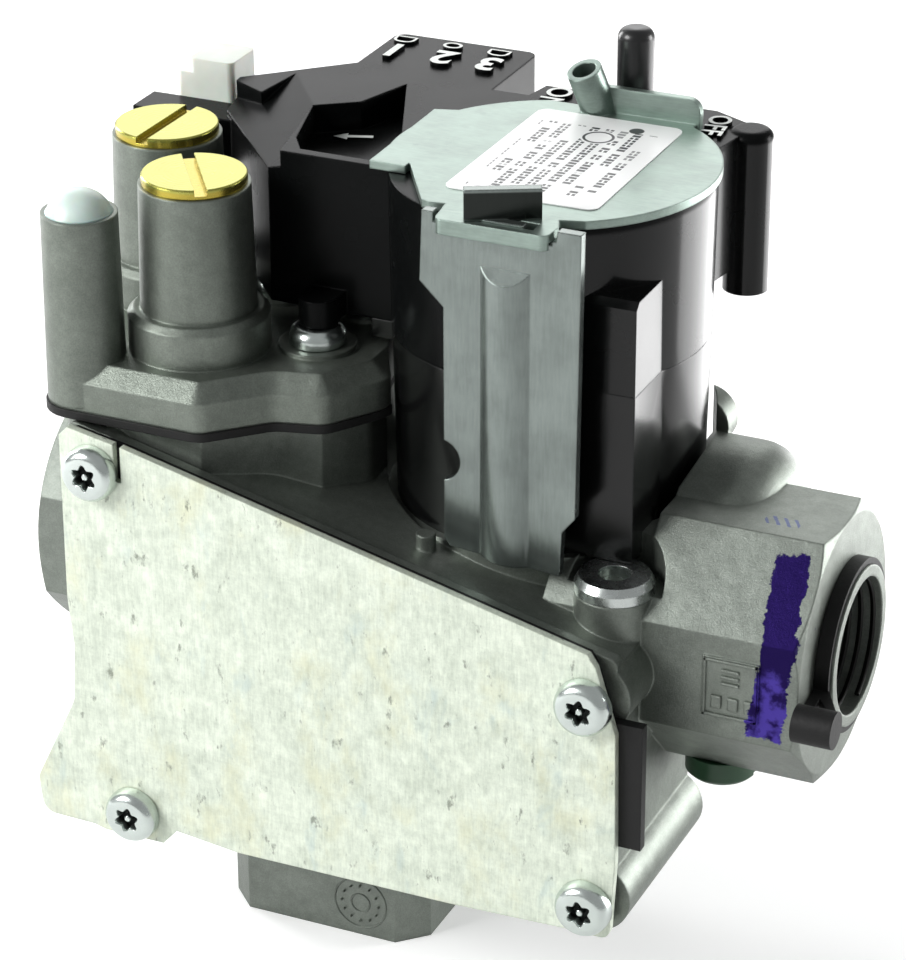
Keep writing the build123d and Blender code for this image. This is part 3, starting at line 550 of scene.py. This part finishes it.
# %% [markdown]
# ## Tamper-proof pan screws
#
# Each head is a low dome with a flat top, sunk in the middle by a six-lobed
# recess with a round pin left standing in it. One head is lofted as rings of
# points whose radius follows the lobes. A tree then sets it on every seat, with
# a seeded random turn, because no two screws stop at the same angle.

# %% One head as rings, then one on every seat
HEAD_R, HEAD_H, LOBE_R, LOBE_DEEP, PIN_R, RECESS = 4.1, 2.7, 1.62, 0.30, 0.48, 1.55
AROUND = 72


def screw_head(facing):
    """Rings of (radius, height, lobing) in mm from the rim to the pin, turned to face a direction."""
    rings = [(3.9, 0.0, 0), (HEAD_R, 0.15, 0), (HEAD_R, 0.85, 0)]
    for step in range(1, 9):
        turn = math.radians(90 * step / 8)
        rings.append((2.62 + (HEAD_R - 2.62) * math.cos(turn), 0.85 + (HEAD_H - 0.85) * math.sin(turn), 0))
    rings += [(LOBE_R + 0.12, HEAD_H, 1), (LOBE_R, HEAD_H - 0.14, 1), (LOBE_R - 0.08, HEAD_H - RECESS, 1),
              (PIN_R + 0.1, HEAD_H - RECESS, 0), (PIN_R, HEAD_H - RECESS + 0.1, 0),
              (PIN_R, HEAD_H - 0.45, 0), (PIN_R - 0.12, HEAD_H - 0.32, 0)]
    vertices, faces, sunk = [], [], []
    for level, (radius, height, lobed) in enumerate(rings):
        for k in range(AROUND):
            # The sunk mark picks the recess floor, which gets painted shade.
            sunk.append(1.0 if 13 <= level < len(rings) - 2 else 0.0)
            angle = 2 * math.pi * k / AROUND
            reach = (radius + lobed * LOBE_DEEP * math.cos(6 * angle)) * MM
            vertices.append((reach * math.cos(angle), reach * math.sin(angle), height * MM))
    for level in range(len(rings) - 1):
        for k in range(AROUND):
            a, b = level * AROUND + k, level * AROUND + (k + 1) % AROUND
            faces.append((a, b, b + AROUND, a + AROUND))
    faces.append(tuple(reversed(range(AROUND))))
    faces.append(tuple((len(rings) - 1) * AROUND + k for k in range(AROUND)))
    pattern = mesh_object("head_pattern", vertices, faces)
    pattern.data.attributes.new("sunk", "FLOAT", "POINT").data.foreach_set("value", sunk)
    pattern.data.transform(Vector((0, 0, 1)).rotation_difference(Vector(facing)).to_matrix().to_4x4())
    return pattern


def seated(pattern, axis):
    """A tree builder: the pattern on every point of the source, each turned about one axis."""
    def build(start, size):
        points = start.node("GeometryNodeMeshToPoints", {}, {"Mesh": start})
        info = start.node("GeometryNodeObjectInfo", {"transform_space": "ORIGINAL"}, {"Object": pattern},
                          "Geometry")
        turn = start.node("FunctionNodeRandomValue", {"data_type": "FLOAT"},
                          {"Seed": 7, 2: 0.0, 3: 6.283}, 1)
        spin = turn.node("ShaderNodeCombineXYZ", {}, {axis: turn})
        return points.node("GeometryNodeInstanceOnPoints", {}, {"Points": points, "Instance": info,
                           "Rotation": spin, "Scale": size["Head_scale"]})
    return build


def screws(name, seats, facing, axis, replaced):
    """Heads on their seats, in mm, that stand in for one CAD node."""
    heads = mesh_object(name + "_seats", [tuple(v * MM for v in seat) for seat in seats], [])
    pattern = screw_head(facing)
    piece = grow(name, heads, screw_zinc, seated(pattern, axis), Head_scale=1.0)
    bpy.data.objects.remove(pattern)
    soften(piece.data, 38)
    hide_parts(replaced)


screws("cover_screw_heads", [(-103.8, -30.0, 19.9), (-99.6, -30.0, -34.7), (-28.4, -30.0, -32.3),
       (-28.9, -30.0, -0.5)], (0, -1, 0), 1, "cover_screws")
screws("regulator_screw_heads", [(-79.8, -6.5, 34.6), (-79.0, 8.0, 34.6), (-93.4, 8.2, 34.6)],
       (0, 0, 1), 2, "regulator_screws")


# %% [markdown]
# ## The lower housing's square corner
#
# The solid carries a round foot under the housing's square corner. On the real
# moulding the corner itself runs down to the bright ring, so this piece takes the
# solid's own surface, cuts the foot away flush with the corner's two walls, and
# lets the corner down. Booleans suit this: each cutter is a plain block.

# %% Cut the foot away and let the corner down to the ring
def block(name, x0, x1, y0, y1, z0, z1):
    ends = [(x, y, z) for x in (x0, x1) for y in (y0, y1) for z in (z0, z1)]
    sides = [(0, 1, 3, 2), (4, 6, 7, 5), (0, 4, 5, 1), (2, 3, 7, 6), (0, 2, 6, 4), (1, 5, 7, 3)]
    return mesh_object(name, [tuple(v * MM for v in end) for end in ends], sides)


CORNER_X, CORNER_Y, CORNER_FOOT = -29.05, -13.2, 13.1  # the corner's walls and its underside, mm
shell = bmesh.new()
shell.from_mesh(nodes["operator_base"].data)
bmesh.ops.remove_doubles(shell, verts=shell.verts[:], dist=0.001 * MM)
lower = mesh_object("lower_housing_start", [], [])
shell.to_mesh(lower.data)
shell.free()
tools = [("DIFFERENCE", block("in_front", -48, -20, -30, CORNER_Y, 8, 29)),
         ("DIFFERENCE", block("beside", CORNER_X, -20, -30, -8, 8, 29)),
         ("UNION", block("corner", -40.5, CORNER_X, CORNER_Y, -4, CORNER_FOOT, 18))]
for operation, tool in tools:
    step = lower.modifiers.new(tool.name, "BOOLEAN")
    step.operation = operation
    step.solver = "EXACT"
    step.object = tool
lower_mesh = evaluated_mesh(lower)
for done in [lower] + [tool for _, tool in tools]:
    bpy.data.objects.remove(done)
lower_mesh.materials.clear()
lower_mesh.materials.append(black_base)
soften(lower_mesh, 25)
lower_housing = on_body("lower_housing", lower_mesh)
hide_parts("operator_base")
print("lower housing", len(lower_mesh.polygons), "faces")

# %% [markdown]
# ## Pipe threads
#
# Both ports are tapped. The CAD bore is smooth, so a thread ridge winds along its
# wall: a spiral curve swept with a small triangle, which is exactly how a tap
# leaves the metal.

# %% A spiral swept with a triangle, laid along the port
def thread(start, size):
    """A three-sided ridge wound along the port, from its low end towards +X."""
    turns = size["Length"] / size["Pitch"]
    spiral = start.node("GeometryNodeCurveSpiral", {}, {"Resolution": 48, "Rotations": turns,
                        "Start Radius": size["Crest_radius"], "End Radius": size["Crest_radius"],
                        "Height": size["Length"]})
    tooth = start.node("GeometryNodeCurvePrimitiveCircle", {}, {"Resolution": 3, "Radius": size["Tooth"]})
    swept = spiral.node("GeometryNodeCurveToMesh", {}, {"Curve": spiral, "Profile Curve": tooth,
                        "Fill Caps": True})
    along = swept.node("ShaderNodeCombineXYZ", {}, {0: size["Low_end"]})
    return swept.node("GeometryNodeTransform", {}, {"Geometry": swept, "Translation": along,
                      "Rotation": (0, math.radians(90), 0)})


for port, low_end in (("inlet_thread", -15.2), ("outlet_thread", -119.6)):
    grow(port, mesh_object(port + "_start", [(0, 0, 0)], []), bored, thread, Crest_radius=9.78 * MM,
         Pitch=1.81 * MM, Length=14.4 * MM, Tooth=0.5 * MM, Low_end=low_end * MM)


# %% [markdown]
# ## Regulator springs
#
# A spring is the same idea as a thread, swept with a round wire. These two sit
# under the adjusters, wound upwards from their foot to a fixed height.

# %% Round-wire springs under the adjusters
SPRING_FOOT, SPRING_LENGTH, SPRING_WIRE, SCREWED_DOWN = 27.95, 14.05, 0.5, 3.0


def spring(x, y):
    """A tree builder: a round wire wound upwards from the spring's foot."""
    def build(start, size):
        coil = start.node("GeometryNodeCurveSpiral", {}, {"Resolution": 28, "Rotations": 5.0,
                          "Start Radius": size["Coil_radius"], "End Radius": size["Coil_radius"],
                          "Height": size["Height"]})
        wire = start.node("GeometryNodeCurvePrimitiveCircle", {}, {"Resolution": 8, "Radius": size["Wire"]})
        swept = coil.node("GeometryNodeCurveToMesh", {}, {"Curve": coil, "Profile Curve": wire,
                          "Fill Caps": True})
        return swept.node("GeometryNodeTransform", {}, {"Geometry": swept, "Translation":
                          (x * MM, y * MM, (SPRING_FOOT + SPRING_WIRE) * MM)})
    return build


for end, (x, y) in TOWERS.items():
    wound = grow("wire_spring_" + end, mesh_object("spring_start", [(0, 0, 0)], []), machined,
                 spring(x, y), Coil_radius=5.2 * MM, Wire=(SPRING_WIRE - 0.03) * MM,
                 Height=(SPRING_LENGTH - 2 * SPRING_WIRE) * MM)
    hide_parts("regulator_spring_" + end)
    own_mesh(wound)

# %% [markdown]
# ## Marks cast into the metal
#
# The boss under the body has a date dial: a ring with ticks like a clock's. The
# inlet's front flat has a small framed tag. Both are raised a few tenths of a
# millimetre by cuts in the die, and the tag here holds plain bars.

# %% The dial's ring and ticks, and the tag's frame and bars
DIAL_CENTRE = (-69.9, -16.12, -50.9)


def together(*parts):
    """Several geometries as one."""
    joined = parts[0].node("GeometryNodeJoinGeometry", {}, {})
    for part in parts:
        joined.tree.links.new(part.link, joined.link.node.inputs[0])
    return joined


def dial(start, size):
    """Two rings of thin wire and twelve ticks between them, facing forward."""
    def circle(resolution, radius):
        return start.node("GeometryNodeCurvePrimitiveCircle", {}, {"Resolution": resolution,
                          "Radius": size[radius]})
    rings, wire = together(circle(48, "Ring"), circle(32, "Hub")), circle(4, "Wire")
    bands = rings.node("GeometryNodeCurveToMesh", {}, {"Curve": rings, "Profile Curve": wire})
    tick_ring = circle(12, "Tick_ring")
    places = tick_ring.node("GeometryNodeCurveToPoints", {"mode": "EVALUATED"}, {"Curve": tick_ring})
    facing = Socket(places.tree, places.link.node.outputs["Rotation"])
    bar = start.node("GeometryNodeMeshCube", {}, {"Size": (0.26 * MM, 1.0 * MM, 0.26 * MM)})
    ticks = places.node("GeometryNodeInstanceOnPoints", {}, {"Points": places, "Instance": bar,
                        "Rotation": facing})
    face = together(bands, ticks)
    return face.node("GeometryNodeTransform", {}, {"Geometry": face, "Rotation": (math.radians(90), 0, 0),
                     "Translation": tuple(v * MM for v in DIAL_CENTRE)})


grow("date_dial", mesh_object("dial_start", [(0, 0, 0)], []), casting, dial, Ring=4.2 * MM, Hub=1.5 * MM,
     Tick_ring=3.0 * MM, Wire=0.16 * MM)


def joined_boxes(name, boxes, material):
    """Several bars given as (x0, x1, y0, y1, z0, z1) in mm, as one mesh with softened edges."""
    shape = bmesh.new()
    for x0, x1, y0, y1, z0, z1 in boxes:
        bar = bmesh.ops.create_cube(shape, size=1.0)["verts"]
        bmesh.ops.scale(shape, verts=bar, vec=((x1 - x0) * MM, (y1 - y0) * MM, (z1 - z0) * MM))
        middle = Vector((x0 + x1, y0 + y1, z0 + z1)) * MM / 2
        bmesh.ops.translate(shape, verts=bar, vec=middle)
    bmesh.ops.bevel(shape, geom=shape.edges[:], offset=0.06 * MM, segments=1, affect="EDGES")
    data = bpy.data.meshes.new(name)
    shape.to_mesh(data)
    shape.free()
    data.materials.append(material)
    on_body(name, data)


RAISED = (-19.42, -19.05)  # front and back of what stands on the inlet's front flat, mm
frame_bars = [(-16.0, -15.6, *RAISED, -4.4, 4.4), (-8.6, -8.2, *RAISED, -4.4, 4.4),
              (-16.0, -8.2, *RAISED, -4.4, -4.0), (-16.0, -8.2, *RAISED, 4.0, 4.4)]
long_bars = [(-13.4, -10.8, *RAISED, z, z + 0.45) for z in (0.6, 1.6, 2.6)]
short_bars = [(x, x + 1.5, *RAISED, -3.1, -1.2) for x in (-14.8, -12.4, -10.0)]
joined_boxes("cast_tag", frame_bars + long_bars + short_bars, casting)


# %% [markdown]
# ## Raised white marks
#
# Numbers name the three terminals, and ON and OFF stand at the lever's two ends.
# Each is a letter shape from Blender's own font, made a mesh before it is placed,
# with a white printed top and black sides, since they are moulded with the cover.

# %% Letters and outlines made into meshes
TOP = 61.0


def two_tone(name, data, place, turn, floor_z):
    """Places a flat raised shape and paints only its upward faces white."""
    move = Matrix.Translation(Vector((*place, floor_z)) * MM)
    data.transform(move @ Matrix.Rotation(math.radians(turn), 4, "Z"))
    data.materials.clear()
    data.materials.append(black_cover)
    data.materials.append(white_ink)
    for face in data.polygons:
        face.material_index = 1 if face.normal.z > 0.7 else 0
    on_body(name, data)


def letters(name, words, place, size_mm, turn, raised_mm=0.5, weight_mm=0.08):
    """Words in Blender's own font, as a raised mesh on the cover's top."""
    text = bpy.data.curves.new(name, "FONT")
    text.body = words
    text.size = size_mm * MM
    text.align_x = "CENTER"
    text.align_y = "CENTER"
    text.extrude = raised_mm * MM / 2
    text.offset = weight_mm * MM
    holder = in_scene(name, text)
    data = evaluated_mesh(holder)
    bpy.data.objects.remove(holder)
    two_tone(name, data, place, turn, TOP + raised_mm / 2)


def outline(name, points, place, turn, line_mm=0.5, raised_mm=0.5):
    """A closed line of even width round a list of points, raised from the cover's top."""
    shape = bmesh.new()
    count = len(points)
    middle = sum((Vector(p) for p in points), Vector((0, 0))) / count
    loops = []
    for level in (0.0, raised_mm):
        for shrink in (0.0, line_mm):
            ring = []
            for p in points:
                inward = (middle - Vector(p)).normalized() * shrink
                ring.append(shape.verts.new(Vector((*(Vector(p) + inward), level)) * MM))
            loops.append(ring)
    for lower, upper in ((0, 2), (3, 1), (2, 3), (1, 0)):
        for k in range(count):
            j = (k + 1) % count
            shape.faces.new((loops[lower][k], loops[lower][j], loops[upper][j], loops[upper][k]))
    bmesh.ops.recalc_face_normals(shape, faces=shape.faces[:])
    data = bpy.data.meshes.new(name)
    shape.to_mesh(data)
    shape.free()
    two_tone(name, data, place, turn, TOP)


def arc(half_x, half_y, last, rise=0.0):
    """Points of an ellipse from 0 degrees up to, but not including, a last angle."""
    angles = [math.radians(a) for a in range(0, last, 15)]
    return [(half_x * math.cos(a), rise + half_y * math.sin(a)) for a in angles]


CIRCLE = arc(1.55, 1.25, 360)
DEE = [(-1.75, -1.15), (1.75, -1.15)] + arc(1.75, 1.3, 181, 0.1)
for number, x in ((1, -89.4), (2, -81.3), (3, -74.0)):
    letters(f"mark_{number}", str(number), (x, 40.3), 7.4, 180, 0.6, 0.22)
outline("dee_1", DEE, (-90.0, 45.4), 180)
outline("ring_2", CIRCLE, (-82.2, 45.6), 0)
outline("dee_3", DEE, (-74.6, 45.4), 180)
letters("mark_on", "ON", (-59.9, 31.2), 5.2, -90)
letters("mark_off", "OFF", (-34.3, 29.6), 4.6, -84)

# %% A plain arrow in the recess, where the real cover has a word
RECESS_FLOOR = 56.6
ARROW = [(-2.9, -0.45), (0.8, -0.45), (0.8, -1.25), (2.9, 0.0), (0.8, 1.25), (0.8, 0.45), (-2.9, 0.45)]
arrow = bmesh.new()
arrow_face = arrow.faces.new([arrow.verts.new(Vector((x, y, 0.0)) * MM) for x, y in ARROW])
lifted = bmesh.ops.extrude_face_region(arrow, geom=[arrow_face])["geom"]
upper = [part for part in lifted if isinstance(part, bmesh.types.BMVert)]
bmesh.ops.translate(arrow, verts=upper, vec=(0, 0, 0.3 * MM))
bmesh.ops.recalc_face_normals(arrow, faces=arrow.faces[:])
arrow_mesh = bpy.data.meshes.new("recess_arrow")
arrow.to_mesh(arrow_mesh)
arrow.free()
two_tone("recess_arrow", arrow_mesh, (-84.6, 15.9), 200, RECESS_FLOOR)

# %% [markdown]
# ## Studio
#
# A pale floor, a white surround, four soft lamps and a low strip. The lamps are
# wide, so metal shows broad gradients instead of hard glints, and their power is
# low enough that a colour renders about as it is written. The white of the
# surround is for the camera, and dimmer in reflections, so it doesn't light the
# valve: the Light Path node tells one kind of ray from another.

# %% Floor, surround, lamps and camera
FLOOR_Z = cad_box[0][2]
FLOOR_HALF = 3.0
floor = mesh_object("floor", [(x * FLOOR_HALF, y * FLOOR_HALF, FLOOR_Z)
                              for x, y in ((-1, -1), (1, -1), (1, 1), (-1, 1))], [(0, 1, 2, 3)])
floor_finish = bpy.data.materials.new("pale_floor")
floor_finish.use_nodes = True
floor_shader = floor_finish.node_tree.nodes["Principled BSDF"]
floor_shader.inputs["Base Color"].default_value = (0.88, 0.88, 0.88, 1)
floor_shader.inputs["Roughness"].default_value = 0.9
floor_shader.inputs["Emission Color"].default_value = (1, 1, 1, 1)


def background(tree, plain, seen, mirrored):
    """A strength that is plain as light, seen by the camera, and mirrored in glossy surfaces."""
    path = tree.nodes.new("ShaderNodeLightPath")
    camera_ray, glossy, through = (Socket(tree, path.outputs[ray]) for ray in
                                   ("Is Camera Ray", "Is Glossy Ray", "Is Transmission Ray"))
    direct = (camera_ray + through).maths("MINIMUM", 1.0)
    return (direct * (seen - plain) + glossy * (mirrored - plain) + plain).link


FLOOR_LIGHT, FLOOR_SEEN, FLOOR_MIRRORED = 0.0, 0.30, 0.08
floor_tree = floor_finish.node_tree
floor_tree.links.new(background(floor_tree, FLOOR_LIGHT, FLOOR_SEEN, FLOOR_MIRRORED),
                     floor_shader.inputs["Emission Strength"])
floor.data.materials.append(floor_finish)

world = bpy.data.worlds.new("studio")
world.use_nodes = True
world.node_tree.nodes["Background"].inputs["Color"].default_value = (0.82, 0.83, 0.84, 1)
WORLD_LIGHT, WORLD_SEEN, WORLD_MIRRORED = 0.20, 0.95, 0.50
world.node_tree.links.new(background(world.node_tree, WORLD_LIGHT, WORLD_SEEN, WORLD_MIRRORED),
                          world.node_tree.nodes["Background"].inputs["Strength"])
scene.world = world


def lamp(name, place, aim, size, watts):
    """A rectangular soft lamp, turned towards a point."""
    data = bpy.data.lights.new(name, "AREA")
    data.shape = "RECTANGLE"
    data.size, data.size_y = size
    data.energy = watts
    made = in_scene(name, data)
    made.location = place
    made.rotation_euler = (Vector(aim) - Vector(place)).to_track_quat("-Z", "Y").to_euler()
    return made


MIDDLE = (-0.06, 0.0, 0.01)
lamp("key_lamp", (-0.66, -0.58, 0.50), MIDDLE, (0.45, 0.45), 10.0)
lamp("back_lamp", (-0.45, 0.85, 0.52), MIDDLE, (0.95, 0.75), 4.7)
lamp("side_lamp", (0.55, 0.45, 0.10), MIDDLE, (0.26, 0.34), 4.1)
lamp("left_lamp", (-0.72, 0.22, 0.18), MIDDLE, (0.20, 0.42), 3.4)
low_strip = lamp("low_strip", (0.050, 0.160, -0.018), (-0.03, 0.0, 0.03), (0.20, 0.07), 0.19)
low_strip.visible_camera = False

CAMERA_PLACE = (0.13070, -0.42607, 0.24243)
AROUND_Z, UP_FROM_FLOOR, ROLL = 24.32, 63.9, -0.22  # degrees
camera_data = bpy.data.cameras.new("camera")
camera_data.lens = 136.1
camera_data.sensor_width = 36.0
camera = in_scene("camera", camera_data)
tilt = Matrix.Rotation(math.radians(AROUND_Z), 4, "Z") @ Matrix.Rotation(math.radians(UP_FROM_FLOOR), 4, "X")
camera.matrix_world = Matrix.Translation(CAMERA_PLACE) @ tilt @ Matrix.Rotation(math.radians(ROLL), 4, "Z")
scene.camera = camera
scene.view_settings.view_transform = "Standard"
